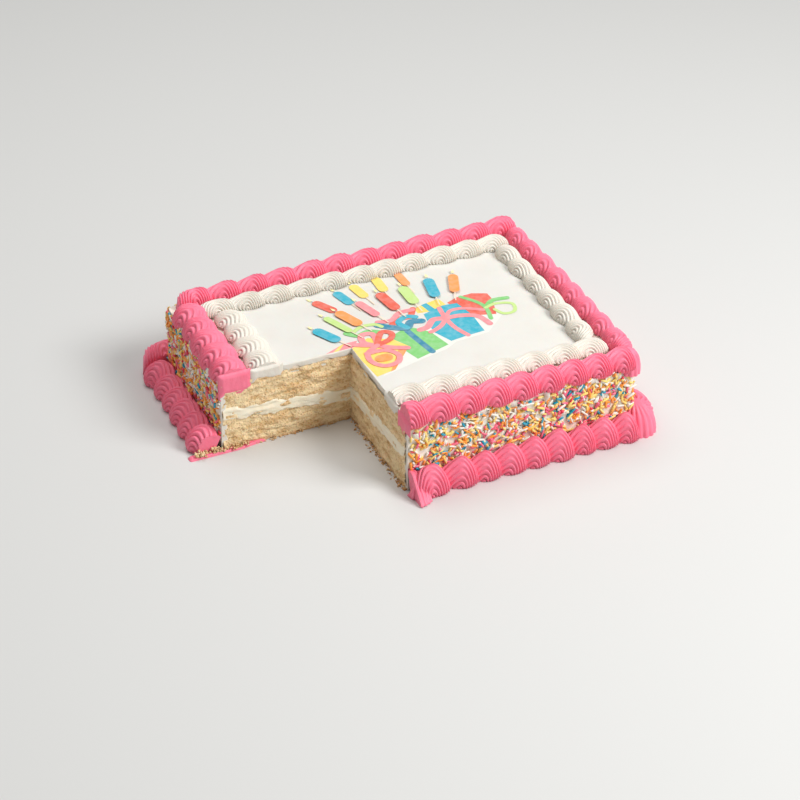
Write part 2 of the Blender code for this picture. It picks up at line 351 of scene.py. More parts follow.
def row_reach(node, side):
    """How far a row's node reaches in, out, down and up, seen from its own wall."""
    low, high = node_box(node)
    span = {
        "front": (-high[1], -low[1]),
        "back": (low[1] - DEPTH, high[1] - DEPTH),
        "left": (-high[0], -low[0]),
        "right": (low[0] - LENGTH, high[0] - LENGTH),
    }[side]
    return (*span, low[2], high[2])


def top_section(node, side):
    inner, out, foot, crest = row_reach(node, side)
    middle = (out + inner) / 2
    half = (out - inner) / 2
    rise = crest - TOP
    over = [
        (0.3 + 0.6 * (out - 0.3), foot),
        (out, TOP),
        (middle + 0.84 * half, TOP + 0.52 * rise),
        (middle + 0.52 * half, TOP + 0.85 * rise),
        (middle + 0.1 * half, crest),
        (middle - 0.4 * half, TOP + 0.92 * rise),
        (middle - 0.8 * half, TOP + 0.62 * rise),
        (inner, TOP + 0.1 * rise),
    ]
    return over, (middle, TOP + 0.5)


def inner_section(node, side):
    inner, out, base, crest = row_reach(node, side)
    middle = (out + inner) / 2
    half = (out - inner) / 2
    rise = crest - base
    over = [
        (out + 1.2, base + 0.16 * rise),
        (middle + 0.82 * half, base + 0.66 * rise),
        (middle + 0.4 * half, base + 0.95 * rise),
        (middle, crest),
        (middle - 0.42 * half, base + 0.9 * rise),
        (middle - 0.8 * half, base + 0.58 * rise),
        (inner, base),
    ]
    return over, (middle, base)


def foot_section(node, side):
    _, out, _, crest = row_reach(node, side)
    wall = 0.72 * crest
    over = [
        (0.93 * out, 0.0),
        (out, 0.16 * crest),
        (0.96 * out, 0.42 * crest),
        (0.84 * out, 0.70 * crest),
        (0.62 * out, 0.92 * crest),
        (0.38 * out, crest),
        (0.16 * out, 0.5 * (crest + wall)),
        (0.0, wall),
    ]
    return over, (0.3 * out, 0.0)


def smooth_curve(points, samples=160):
    """A soft curve through the points, evenly spaced."""
    ends = np.array([points[0], *points, points[-1]], float)
    fine = []
    for a, b, c, d in zip(ends, ends[1:], ends[2:], ends[3:]):
        t = np.linspace(0, 1, 24, endpoint=False)[:, None]
        fine.append(0.5 * (2 * b + (c - a) * t + (2 * a - 5 * b + 4 * c - d) * t**2 + (3 * b - a - 3 * c + d) * t**3))
    fine = np.concatenate([*fine, ends[-1:]])
    step = np.concatenate([[0], np.cumsum(np.linalg.norm(np.diff(fine, axis=0), axis=1))])
    even = np.linspace(0, step[-1], samples)
    return np.stack([np.interp(even, step, fine[:, k]) for k in (0, 1)], axis=1)


class Section:
    """A row's cross-section, read round from the side where its shells curl."""

    def __init__(self, kind, node, side, curl_outside):
        make = {"top": top_section, "inner": inner_section, "foot": foot_section}[kind]
        over, core = make(node, side)
        curve = smooth_curve(over)
        self.curve = curve if curl_outside else curve[::-1]
        self.core = np.array(core)

    def at(self, share, size, lift=0.0):
        """(out, height) points at a share of the way round, at a size against the whole. Beyond either end they
        turn in towards the core."""
        steps = np.linspace(0, 1, len(self.curve))
        inside = clamp01(share)
        point = np.stack([np.interp(inside, steps, self.curve[:, k]) for k in (0, 1)], axis=-1)
        arm = point - self.core
        reach = np.linalg.norm(arm, axis=-1, keepdims=True)
        beyond = clamp01(np.abs(share - inside) / 0.3)[..., None]
        size = np.asarray(size)[..., None] * (1 - 0.9 * beyond)
        lift = np.asarray(lift)[..., None] * (1 - beyond)
        return self.core + arm * size + arm / np.maximum(reach, 1e-6) * lift


def shell(section, look, curl_at, reach, pitch, seed, settings):
    """One piped shell as a sheet of nested ridges round its curl: along, out and height of each point."""
    ridges = look["ridges"]
    draw = np.random.default_rng(seed)
    across = np.linspace(0, 1, ridges * settings.ridge_steps + 1)
    head = np.linspace(look["start_turn"], 90, 18)
    tail = 90 + np.linspace(0, look["end_turn"] - 90, 19)[1:]
    turn = np.radians(np.concatenate([head, tail]))
    u, a = np.meshgrid(across, turn, indexing="ij")
    wobble = 0.04 * np.sin(2.3 * a + draw.uniform(0, 6)) + 0.02 * np.sin(4.1 * a + draw.uniform(0, 6))
    rho = u * (1 + wobble * u * (1 - u) * 2)
    forward = np.cos(a) >= 0
    tucked = 1 - 0.7 * smooth_step(math.radians(145), math.radians(190), a)
    stretch = np.where(forward, 1.0, 1 + (look["tail_stretch"] - 1) * rho**0.8 * tucked)
    along = curl_at + reach * rho * np.cos(a) * stretch
    share = look["curl_share"] + look["spread"] * rho * np.sin(a)
    back = np.clip((curl_at - along) / pitch, 0, 2)
    edge = np.sqrt(np.clip(1 - rho ** look["edge_power"], 0, 1))
    low_fall = np.exp(-((share / 0.4) ** 2))
    behind = np.clip((curl_at + 0.2 * pitch - along) / (0.5 * pitch), 0, 2.5) ** 1.2
    fall = 1 - (look["tail_drop"] + look["foot_drop"] * low_fall) * behind
    whole = (look["core"] + (1 - look["core"]) * edge) * np.clip(fall, 0.3, 1)
    keep = 1 - 0.5 * smooth_step(0.8, 1.0, share)
    size = 1 - (1 - whole) * keep
    size = size * (1 + 0.03 * draw.standard_normal())
    wave = np.abs(np.sin(math.pi * ridges * u)) ** 0.7 - 0.62
    top = smooth_step(look["smooth_from"], look["smooth_from"] + 0.25, u * np.clip(np.sin(a), 0, 1) ** 0.5)
    depth = settings.ridge_depth / MM * (1 - 0.75 * top) * (1 - look["tail_smooth"] * clamp01(back))
    lift = wave * depth * look["depth"]
    lumps = np.stack([along / 7 + seed, share * 5, u * 2], axis=-1).reshape(-1, 3)
    lift = lift + 0.25 * rough(lumps, 1.0, seed).reshape(u.shape)
    point = section.at(share, size, lift)
    point[..., 1] = np.maximum(point[..., 1], look["floor"])
    return along, point[..., 0], point[..., 1], u.shape


def cut_cap(section, side, at, inward, outline):
    """A flat face that closes a sliced row, out to the furthest points of its shells."""
    turns = np.linspace(0, 1, 49)
    base = section.at(turns, np.full(49, 1.0))
    angle = np.arctan2(base[:, 1] - section.core[1], base[:, 0] - section.core[0])
    arm = outline - section.core
    own = np.arctan2(arm[:, 1], arm[:, 0])
    reach = np.linalg.norm(arm, axis=1)
    sizes = np.linalg.norm(base - section.core, axis=1)
    grown = []
    for a, size in zip(angle, sizes):
        near = np.abs((own - a + math.pi) % (2 * math.pi) - math.pi) < 0.12
        grown.append(max(reach[near].max() if near.any() else 0.0, 0.75 * size))
    rings = []
    for share in np.linspace(0.02, 1.0, 8):
        out = section.core[0] + np.cos(angle) * np.array(grown) * share
        height = section.core[1] + np.sin(angle) * np.array(grown) * share
        spot = np.stack([out, height, np.full(49, float(at))], axis=1)
        bulge = 0.25 * rough(spot, 3.0, 5) * (1 - share**4)
        rings.append(place(side, at + inward * bulge, out, height))
    points = np.concatenate(rings)
    return points, grid_faces(8, 49)


def piped_row(row, settings):
    """A row of shells with the core they sit on, sliced flat where the cake is cut."""
    node, kind, side, run, cuts, curl_outside, count, look = row
    section = Section(kind, node, side, curl_outside)
    seed = sum(ord(letter) for letter in node)
    draw = np.random.default_rng(seed)
    start, end = run
    stretch = 0.1 if side == "front" else 0.0
    parts = []
    sliced = {0: [], 1: []}
    first = 0 if cuts[0] is None else -1
    last = count if cuts[1] is None else count + 1
    for number in range(first, last):
        part = (number + 1) / count
        bend = stretch * (1 - 2 * part)
        pitch = (end - start) / count * (1 + bend)
        head_at = start + (end - start) * (part + stretch * part * (1 - part))
        head_at += settings.unevenness * 2.0 * draw.standard_normal() * (0 < number < count - 1)
        reach = pitch * look["reach"] * (1 + 0.05 * draw.standard_normal())
        form = {**look, **BLUNT} if number == 0 and cuts[0] is None else look
        if number == count - 1 and cuts[1] is None:
            form = {**form, **FREE_END}
        along, out, height, shape = shell(section, form, head_at - reach, reach, pitch, seed + number, settings)
        faces = grid_faces(*shape)
        flat_along = along.reshape(-1)
        flat = np.stack([out.reshape(-1), height.reshape(-1)], axis=1)
        for end_number, cut in enumerate(cuts):
            if cut is None:
                continue
            gone = flat_along < cut if end_number == 0 else flat_along > cut
            faces = faces[~gone[faces].all(axis=1)]
            held = np.zeros(len(flat_along), bool)
            held[faces.reshape(-1)] = True
            sliced[end_number].append(flat[gone & held])
            flat_along = np.where(gone, cut, flat_along)
        if not len(faces):
            continue
        points = place(side, flat_along, flat[:, 0], flat[:, 1])
        parts.append((points, faces))
    for end_number, cut in enumerate(cuts):
        if cut is None:
            continue
        outline = np.concatenate(sliced[end_number])
        parts.append(cut_cap(section, side, cut, 1 if end_number == 0 else -1, outline))
    parts.append(row_core(section, side, look, run, cuts))
    return joined(parts)


def row_core(section, side, look, run, cuts):
    """The closed body under a row's shells."""
    low = cuts[0] + 0.2 if cuts[0] is not None else run[0] + 2.0
    high = cuts[1] - 0.2 if cuts[1] is not None else run[1] - 6.0
    steps = np.linspace(0, 1, 40)
    rings = []
    for along in np.linspace(low, high, 30):
        near = min(along - low if cuts[0] is None else 99.0, high - along if cuts[1] is None else 99.0)
        size = (look["core"] - 0.04) * math.sqrt(clamp01(near / 6.0 + 0.02))
        ring = section.at(steps, np.full(40, size))
        rings.append(place(side, np.full(40, along), ring[:, 0], ring[:, 1]))
    return np.concatenate(rings), grid_faces(30, 40)


def swept(section, side, stations, sizes, lifts, cuts):
    """A skin round a section, with a size and a lift for each station, closed flat where cuts says so."""
    turns = np.linspace(0, 1, 61)
    rings, outlines = [], []
    for along, size, lift in zip(stations, sizes, lifts):
        ring = section.at(turns, np.full(61, size), np.full(61, lift) * np.sin(math.pi * turns) ** 0.3)
        outlines.append(ring)
        rings.append(place(side, np.full(61, along), ring[:, 0], ring[:, 1]))
    parts = [(np.concatenate(rings), grid_faces(len(rings), 61))]
    for end in cuts:
        ring, along = outlines[end], stations[end]
        layers = []
        for share in np.linspace(0.02, 1, 9):
            spot = section.core + (ring - section.core) * share
            streak = rough(np.stack([spot[:, 0] * 0.25, spot[:, 1], spot[:, 0] * 0 + along], axis=1), 1.6, 8)
            layers.append(place(side, along + 0.35 * streak * (1 - share**4), spot[:, 0], spot[:, 1]))
        parts.append((np.concatenate(layers), grid_faces(9, 61)))
    return joined(parts)


def fan_shell(middle, tip, half, base, crest, ridges, depth, seed):
    """A round shell whose ridges fan out from its tip down to the ground."""
    turns = np.linspace(0, 2 * math.pi, ridges * 6 + 1)
    shares = np.linspace(0, 1, 22)
    s, a = np.meshgrid(shares, turns, indexing="ij")
    phase = ridges * a / 2 + 1.1 * s
    wave = (np.abs(np.sin(phase)) ** 0.7 - 0.62) * depth * smooth_step(0.05, 0.4, s)
    spread = np.sin(0.5 * math.pi * s) ** 0.85
    x = tip[0] + (middle[0] - tip[0]) * s + (half[0] * spread + wave) * np.cos(a)
    y = tip[1] + (middle[1] - tip[1]) * s + (half[1] * spread + wave) * np.sin(a)
    z = base + (crest - base) * np.clip(np.cos(0.5 * math.pi * s), 0, 1) ** 0.8 + 0.5 * wave * (1 - s)
    points = np.stack([x, y, np.maximum(z, 0.0)], axis=-1).reshape(-1, 3)
    points += 0.2 * rough(points, 4.0, seed)[:, None] * np.array([1, 1, 0])
    return points, grid_faces(*s.shape)


class Outline(Section):
    """A section given by its own points."""

    def __init__(self, points, core):
        self.curve = smooth_curve(points)
        self.core = np.array(core, float)


# How a shell is piped. Turns are in degrees round the curl; most others are shares of the shell's own size.
PIPING = {"ridges": 8, "reach": 0.68, "start_turn": -90, "end_turn": 270, "tail_stretch": 2.6, "curl_share": 0.03,
          "spread": 1.0, "edge_power": 7.0, "tail_drop": 0.2, "foot_drop": 0.16, "core": 0.5, "smooth_from": 0.74,
          "tail_smooth": 0.2, "depth": 1.15, "floor": 0.0}
FREE_END = {"core": 0.1}  # the outer shell of an end that isn't sliced
# The first shell of a row that isn't sliced.
BLUNT = {**FREE_END, "tail_stretch": 1.0, "tail_drop": 0.05, "foot_drop": 0.0}
INNER_LOOK = {**PIPING, "ridges": 9, "depth": 0.95, "tail_smooth": 0.2, "smooth_from": 0.8,
              "floor": SHEET_TOP + 0.05}
FOOT_LOOK = {**PIPING, "ridges": 8, "reach": 0.76, "curl_share": -0.03, "spread": 1.05, "foot_drop": 0.24}
SIDE_LOOK = {**PIPING, "ridges": 9, "smooth_from": 0.95, "spread": 1.12, "tail_smooth": 0.1}


CORNER_SHELLS = {
    # row: middle, tip, half widths, base, crest, ridges, ridge depth, seed
    "pink_foot_right": (((297.0, -2.0), (293.5, 3.5), (12.5, 13.0), 0.0, 23.5, 15, 1.5, 3),),
    "pink_foot_back": (((299.0, 216.0), (296.0, 213.0), (12.0, 11.0), 0.0, 22.0, 15, 1.4, 5),),
    "pink_top_right": (((287.5, 4.5), (286.5, 5.5), (8.6, 9.6), 52.0, 71.0, 13, 1.3, 4),),
}


def border_rows():
    pink_front = -row_reach("pink_top_front", "front")[0] + 0.3
    pink_back = DEPTH + row_reach("pink_top_back", "back")[0] - 0.3
    white_left = -row_reach("pink_top_left", "left")[0] + 0.3
    white_right = LENGTH + row_reach("pink_top_right", "right")[0] - 0.3
    white_front = -row_reach("white_top_front", "front")[0] + 0.3
    white_back = DEPTH + row_reach("white_top_back", "back")[0] - 0.3
    across = (white_left, white_right)
    right_run = (pink_front, pink_back)
    white_run = (white_front, white_back)
    inner_side = {**INNER_LOOK, "smooth_from": 0.95}
    foot_side = {**SIDE_LOOK, "reach": 0.74, "curl_share": -0.03, "foot_drop": 0.24}
    return (
        ("pink_top_front", "top", "front", (CUT_X - 7.0, LENGTH - 0.5), (CUT_X, None), True, 9, PIPING),
        ("pink_top_right", "top", "right", right_run, (None, None), False, 8, SIDE_LOOK),
        ("pink_top_back", "top", "back", (11.0, LENGTH + 5.0), (None, None), False, 12, PIPING),
        ("pink_top_left", "top", "left", (CUT_Y, pink_back), (CUT_Y, None), True, 5, SIDE_LOOK),
        ("white_top_front", "inner", "front", (CUT_X, white_right), (CUT_X, None), True, 7, INNER_LOOK),
        ("white_top_right", "inner", "right", white_run, (None, None), False, 6, inner_side),
        ("white_top_back", "inner", "back", across, (None, None), False, 11, INNER_LOOK),
        ("white_top_left", "inner", "left", (CUT_Y, white_back), (CUT_Y, None), True, 4, inner_side),
        ("pink_foot_front", "foot", "front", (CUT_X + 8.0, LENGTH + 0.5), (None, None), True, 9, FOOT_LOOK),
        ("pink_foot_right", "foot", "right", (2.0, DEPTH), (None, None), False, 9, foot_side),
        ("pink_foot_back", "foot", "back", (-9.0, LENGTH + 20.0), (None, None), False, 14, FOOT_LOOK),
        ("pink_foot_left", "foot", "left", (CUT_Y, DEPTH), (CUT_Y, None), True, 6, foot_side),
    )


# The cut body


def cream_floor(x, y):
    far = np.hypot(x - CUT_X, y - CUT_Y) / CREAM_REACH
    return CREAM_LEVEL - CREAM_SAG * np.exp(-far * far / 2)


def cut_skin(face, span, low, high, relief, step, seed):
    """A fine rough skin over one cut face. Relief gives how far each point stands out, in millimetres, from its
    place on the face and its share of the way up."""
    columns = int((span[1] - span[0]) / step) + 1
    u = np.linspace(*span, columns)
    bottom, top = (edge(*((u, CUT_Y) if face == "left" else (CUT_X, u))) for edge in (low, high))
    rows = int((top - bottom).max() / step) + 1
    v = np.linspace(0, 1, rows)[:, None]
    height = bottom + (top - bottom) * v
    across = np.broadcast_to(u, height.shape)
    share = np.broadcast_to(v, height.shape)
    spots = np.stack([across, np.full(height.shape, 40.0 if face == "left" else 80.0), height], axis=-1)
    out = relief(spots.reshape(-1, 3), share.reshape(-1), seed).reshape(height.shape)
    if face == "left":
        points = np.stack([across, CUT_Y - out, height], axis=-1)
    else:
        points = np.stack([CUT_X - out, across, height], axis=-1)
    faces = grid_faces(rows, columns)
    return points.reshape(-1, 3), faces[:, ::-1] if face == "left" else faces


def crumb_relief(spots, share, seed):
    coarse = layered(spots * [0.6, 0.6, 1.3], 6.0, 3, seed)
    fine = layered(spots, 1.8, 2, seed + 9)
    torn = np.clip(rough(spots * [0.5, 0.5, 1.3], 3.4, seed + 4) - 0.15, 0, 1)
    return 1.2 + 1.3 * coarse + 0.6 * fine - 2.4 * torn


def cream_relief(spots, share, seed):
    edge = np.minimum(share, 1 - share)
    ragged = 0.26 * layered(spots * [0.6, 0.6, 1], 5.0, 3, seed + 3)
    held = smooth_step(0.02, 0.2, edge + ragged)
    swirl = layered(spots * [0.4, 0.4, 1.5], 4.0, 3, seed)
    return 3.4 * held - 1.7 + 1.3 * swirl * held


def slab(node):
    """The corners and faces of a CAD node, for the inside of a layer."""
    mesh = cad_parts[node].data
    points = np.array([vertex.co for vertex in mesh.vertices], float)
    return (points - ORIGIN) / MM, np.array([tuple(face.vertices) for face in mesh.polygons])


def mixed_piece(name, parts, materials, flat_parts=()):
    """One piece from parts of quads and triangles."""
    points, faces, flat, count = [], [], [], 0
    for number, (some_points, some_faces) in enumerate(parts):
        points.append(some_points)
        faces += [tuple(int(i) + count for i in face) for face in some_faces]
        flat += [number in flat_parts] * len(some_faces)
        count += len(some_points)
    piece = make_piece(name, np.concatenate(points), faces, materials)
    piece.data.polygons.foreach_set("use_smooth", ~np.array(flat))
    return piece


def wall_path(inset=0.0):
    """Points round the iced wall, from the left cut edge by the back to the front cut edge, and their normals."""
    low, right, back = inset, LENGTH - inset, DEPTH - inset
    path = [(low, CUT_Y, -1, 0)]
    corners = ((low + CORNER, back - CORNER, 180, 90), (right - CORNER, back - CORNER, 90, 0),
               (right - CORNER, low + CORNER, 0, -90))
    for x, y, turn_from, turn_to in corners:
        for turn in np.radians(np.linspace(turn_from, turn_to, 7)):
            path.append((x + CORNER * math.cos(turn), y + CORNER * math.sin(turn), math.cos(turn), math.sin(turn)))
    path.append((CUT_X, low, 0, -1))
    path = np.array(path)
    run = np.concatenate([[0], np.cumsum(np.linalg.norm(np.diff(path[:, :2], axis=0), axis=1))])
    return path, run


def on_wall(run_at, height, out):
    """Points at a distance along the wall, a height and a distance out from it, with their normals."""
    path, run = wall_path()
    x, y, nx, ny = (np.interp(run_at, run, path[:, k]) for k in range(4))
    size = np.hypot(nx, ny)
    nx, ny = nx / size, ny / size
    points = np.stack([x + nx * out, y + ny * out, height * np.ones_like(x)], axis=-1)
    return points, np.stack([nx, ny, np.zeros_like(nx)], axis=-1)


def wall_rise(run_at, height):
    """How far the spread icing stands out from the wall."""
    spots = np.stack([run_at, height * 1.3, np.zeros_like(run_at)], axis=-1).reshape(-1, 3)
    rise = 0.45 + 0.55 * layered(spots * [0.6, 1, 1], 9.0, 3, 31) + 0.25 * rough(spots, 2.2, 35)
    return np.clip(rise, 0.05, 1.8).reshape(np.shape(run_at))


TUFTS = (
    # distance along the wall from its front cut edge, height of the top, width, length, how far it stands out
    (7.0, 50.0, 9.0, 7.0, 2.2), (22.0, 55.5, 5.0, 9.0, 3.6), (33.0, 56.5, 14.0, 4.5, 2.4),
    (58.0, 56.5, 16.0, 5.0, 2.2),
    (84.0, 57.0, 13.0, 6.5, 2.6), (111.0, 57.5, 6.5, 10.0, 4.0), (121.0, 57.0, 10.0, 5.0, 2.4),
    (150.0, 57.5, 15.0, 5.0, 2.2),
    (171.0, 57.0, 8.0, 7.0, 2.6), (66.0, 40.0, 6.0, 5.0, 2.0), (135.0, 44.0, 6.0, 6.0, 2.0),
    (40.0, 31.0, 7.0, 4.0, 1.8),
)


def tuft(back, top, width, length, out, seed):
    """A peak of white icing pulled off the wall."""
    _, run = wall_path()
    u, v = np.meshgrid(np.linspace(-1, 1, 15), np.linspace(0, 1, 13))
    lean = 1.5 * rough(np.stack([v * 3, v * 0 + seed, v * 0], -1).reshape(-1, 3), 1.0, seed).reshape(v.shape)
    at = run[-1] - back + 0.5 * width * u * (1 - 0.6 * v) + lean * v
    height = top - length * v - 0.8 * (1 - u * u) * v
    rise = out * (1 - u * u) ** 0.6 * np.sin(math.pi * (0.25 + 0.75 * v)) ** 0.7 + 0.3
    spots = np.stack([at, height, rise], axis=-1).reshape(-1, 3)
    rise = rise + 0.35 * layered(spots, 2.4, 2, seed).reshape(u.shape) * (1 - u * u)
    points, _ = on_wall(at, height, rise)
    return points.reshape(-1, 3), grid_faces(13, 15)


def rod(length, radius, sides=5):
    """A sugar rod along X with rounded ends."""
    rings = ((-0.5, 0.62), (-0.38, 1.0), (0.38, 1.0), (0.5, 0.62))
    turns = np.linspace(0, 2 * math.pi, sides, endpoint=False)
    points = []
    for at, size in rings:
        for turn in turns:
            points.append((at * length, size * radius * math.cos(turn), size * radius * math.sin(turn)))
    points += [(-0.5 * length - 0.25 * radius, 0, 0), (0.5 * length + 0.25 * radius, 0, 0)]
    faces = []
    for ring in range(len(rings) - 1):
        for i in range(sides):
            j = (i + 1) % sides
            a, b = ring * sides, (ring + 1) * sides
            faces += [(a + i, b + i, b + j), (a + i, b + j, a + j)]
    first, last = sides * len(rings), sides * len(rings) + 1
    end = sides * (len(rings) - 1)
    for i in range(sides):
        j = (i + 1) % sides
        faces += [(first, i, j), (last, end + j, end + i)]
    return np.array(points), np.array(faces)


SUGARS = (
    # name, colour, share
    ("orange", (1.0, 0.34, 0.03), 0.24),
    ("yellow", (1.0, 0.74, 0.20), 0.23),
    ("pink", (0.97, 0.17, 0.28), 0.13),
    ("red", (0.85, 0.04, 0.09), 0.05),
    ("blue", (0.0, 0.36, 0.52), 0.09),
    ("white", (0.92, 0.88, 0.79), 0.26),
)


SUGAR_BAND = (12.0, 59.5)  # lowest and highest middle of a rod on the wall
SUGAR_CELL = 3.5  # side of the squares in which rods are counted, to pile them up
RODS_A_LAYER = 7


def scatter_rods(settings):
    """Sugar rods pressed all over the walls in one to three layers. Gives (points, faces) for each colour."""
    draw = np.random.default_rng(11)
    _, run = wall_path()
    cells = {}
    made = {name: [] for name, _, _ in SUGARS}
    names = [name for name, _, _ in SUGARS]
    shares = np.array([share for _, _, share in SUGARS])
    shares = shares / shares.sum()
    for _ in range(settings.sprinkles):
        at = draw.uniform(1.5, run[-1] - 1.5)
        height = draw.uniform(*SUGAR_BAND)
        length = draw.uniform(3.2, 7.4)
        radius = draw.uniform(0.75, 1.1)
        turn = draw.uniform(0, math.pi)
        cell = (int(at / SUGAR_CELL), int(height / SUGAR_CELL))
        near = sum(cells.get((cell[0] + i, cell[1] + j), 0) for i in (-1, 0, 1) for j in (-1, 0, 1))
        level = min(near // RODS_A_LAYER, 3)
        cells[cell] = cells.get(cell, 0) + 1
        out = float(wall_rise(np.array([at]), np.array([height]))[0]) + radius * 0.7 + level * 0.75
        middle, normal = on_wall(np.array([at]), np.array([height]), out)
        middle, normal = middle[0], normal[0]
        along = np.array([-normal[1], normal[0], 0.0])
        up = np.array([0.0, 0.0, 1.0])
        lean = draw.normal(0, 0.16) + (0.5 if draw.random() < 0.06 else 0.0)
        axis = math.cos(lean) * (math.cos(turn) * along + math.sin(turn) * up) + math.sin(lean) * normal
        side = np.cross(normal, axis)
        side /= np.linalg.norm(side)
        third = np.cross(axis, side)
        points, faces = rod(length, radius)
        bend = draw.normal(0, 0.035)
        points[:, 1] += bend * (points[:, 0] ** 2 - (length / 2) ** 2 / 2)
        placed = middle + points @ np.stack([axis, side, third])
        if placed[:, 2].max() > 61.0 or placed[:, 0].min() < -9.0:
            continue
        name = names[int(draw.choice(len(names), p=shares))]
        made[name].append((placed, faces))
    return made


# The printed picture: plain candles and wrapped presents. Shapes are (colour, outline) in millimetres.

INKS = {
    "red": (0.78, 0.12, 0.07), "blue": (0.05, 0.40, 0.52), "yellow": (0.96, 0.68, 0.13), "orange": (0.95, 0.33, 0.08),
    "lime": (0.55, 0.75, 0.24), "pink": (0.93, 0.28, 0.30), "green": (0.22, 0.60, 0.18), "teal": (0.03, 0.42, 0.55),
    "deep": (0.04, 0.25, 0.38), "flame": (0.93, 0.85, 0.42), "stick": (0.90, 0.72, 0.55), "wick": (0.35, 0.36, 0.38),
    "shade": (0.80, 0.79, 0.73),
}

CANDLES = (
    # colour, foot, top, width
    ("red", (114, 153), (104.5, 170), 8), ("teal", (129.5, 158), (125, 176), 8),
    ("yellow", (143.5, 162), (140.5, 180), 8),
    ("yellow", (160.5, 164), (161, 182.5), 8), ("orange", (180, 164.5), (179.5, 181.5), 7),
    ("teal", (100, 114.5), (90, 133.5), 9), ("lime", (113.5, 122), (103.5, 146), 6),
    ("orange", (123.5, 128), (115, 149), 9),
    ("pink", (141, 134), (134.5, 155.5), 7), ("red", (158, 136), (154.5, 160), 9),
    ("lime", (174.5, 138), (174.5, 161), 9),
    ("teal", (193, 140), (197.5, 163.5), 9), ("orange", (209.5, 140), (218, 161), 8),
)

BOXES = (
    ("shade", ((112, 58.5), (130, 63), (146, 67), (170, 72), (181, 78), (209, 80), (231, 99), (215, 110), (150, 100))),
    ("yellow", ((171, 125), (171, 132.5), (184, 135.5), (194, 137.5), (196, 128), (186, 123))),
    ("teal", ((180, 124), (178, 134.5), (183, 135.5), (186, 124))),
    ("red", ((198, 129.5), (208, 133.5), (221, 134), (232, 129), (232, 119.5), (225.5, 100), (206, 106), (200, 120))),
    ("green", ((139.5, 104.5), (150, 109), (159, 109), (169, 98), (174, 77), (145, 69), (140, 86))),
    ("teal", ((174.5, 122), (193, 127.5), (204.5, 126), (208, 107), (207, 83), (190, 82), (178, 80.5), (171, 97))),
    ("pink", ((81, 100.6), (102, 109.5), (114, 109.5), (105.6, 100.6))),
    ("yellow", ((89, 100.6), (99, 108.3), (103, 109.3), (94, 100.6))),
    ("yellow", ((105.6, 101), (122, 109.5), (139, 100), (146, 87), (124, 63), (108, 60), (105.6, 90))),
    ("orange", ((146, 87), (124, 63), (120, 62), (137, 86))),
)

RIBBONS = (
    # colour, width, points that it runs through
    ("deep", 5.0, ((153.5, 106), (155, 96), (159, 73.5))),
    ("pink", 4.0, ((189, 125), (187.5, 110), (188.5, 96), (193, 82.5))),
    ("pink", 5.5, ((187.5, 110), (178, 112), (170, 105), (163, 103.5))),
    ("pink", 4.0, ((187.5, 110), (181, 103), (174, 99), (169, 97.5))),
    ("pink", 3.5, ((187.5, 110), (195, 118), (206, 117), (219, 109))),
    ("pink", 5.0, ((187.5, 110), (199, 109), (211, 103), (215, 90))),
    ("green", 3.5, ((211, 132.5), (219, 121), (222, 111), (219, 96))),
    ("green", 4.5, ((222, 111), (231, 118), (243, 117))),
    ("lime", 3.0, ((222, 111), (232, 113), (243, 108), (240, 98), (231, 98), (227, 106))),
    ("red", 5.0, ((146, 118), (154, 124), (163, 123), (170, 132))),
    ("pink", 4.5, ((138, 126), (148, 124), (158, 131), (169, 131))),
    ("deep", 6.5, ((136, 122), (146, 114), (155, 110), (161, 116), (169, 114))),
    ("teal", 5.0, ((155, 110), (152, 119), (160, 124), (167, 121))),
    ("green", 5.0, ((110, 121), (117, 115), (126, 117), (135, 112))),
    ("lime", 3.5, ((116, 121), (124, 125), (134, 124), (138, 119))),
    ("pink", 5.0, ((107, 106), (116, 101), (124.5, 97), (134, 90), (144, 85))),
    ("pink", 5.0, ((124.5, 97), (117, 104), (119, 114), (127, 113), (127, 104), (124.5, 97))),
    ("red", 5.0, ((124.5, 97), (129, 105), (135, 112), (141, 108), (137, 101), (124.5, 97))),
    ("pink", 4.5, ((124.5, 97), (114, 90), (112, 79), (119, 70), (130, 71), (134, 80), (127, 89), (113, 90))),
    ("orange", 9.0, ((120, 80), (125, 80))),
)


def band(points, width):
    """The outline of a strip through the points, with round ends."""
    line = smooth_curve([(x, y) for x, y in points], 36) if len(points) > 2 else np.array(points, float)
    tangent = np.gradient(line, axis=0)
    tangent /= np.linalg.norm(tangent, axis=1, keepdims=True)
    normal = np.stack([-tangent[:, 1], tangent[:, 0]], axis=1)
    half = width / 2
    turns = np.linspace(0, math.pi, 9)[1:-1]
    last = [line[-1] + half * (normal[-1] * math.cos(t) + tangent[-1] * math.sin(t)) for t in turns]
    first = [line[0] - half * (normal[0] * math.cos(t) + tangent[0] * math.sin(t)) for t in turns]
    return line + normal * half, line - normal * half, np.array(last), np.array(first)


class Print:
    """Fields of ink on the sheet, each a hair above the one before."""

    def __init__(self):
        self.points, self.faces, self.inks = [], [], []
        self.level = SHEET_TOP + 0.02

    def add(self, ink, outline, faces=None):
        count = len(self.points)
        self.points += [(x, y, self.level) for x, y in outline]
        for face in faces if faces is not None else [range(len(outline))]:
            self.faces.append(tuple(int(i) + count for i in face))
            self.inks.append(ink)
        self.level += 0.01

    def strip(self, ink, points, width):
        left, right, last, first = band(points, width)
        outline = np.concatenate([left, right])
        n = len(left)
        faces = [(i, i + n, i + n + 1, i + 1) for i in range(n - 1)]
        count = len(self.points)
        self.add(ink, outline, faces)
        for i in range(2 * n):
            x, y, z = self.points[count + i]
            self.points[count + i] = (x, y, z + 0.008 * (i % n) / n)
        self.add(ink, np.concatenate([left[-1:], last, right[-1:]]))
        self.level -= 0.014
        self.add(ink, np.concatenate([right[:1], first, left[:1]]))
        self.level += 0.006


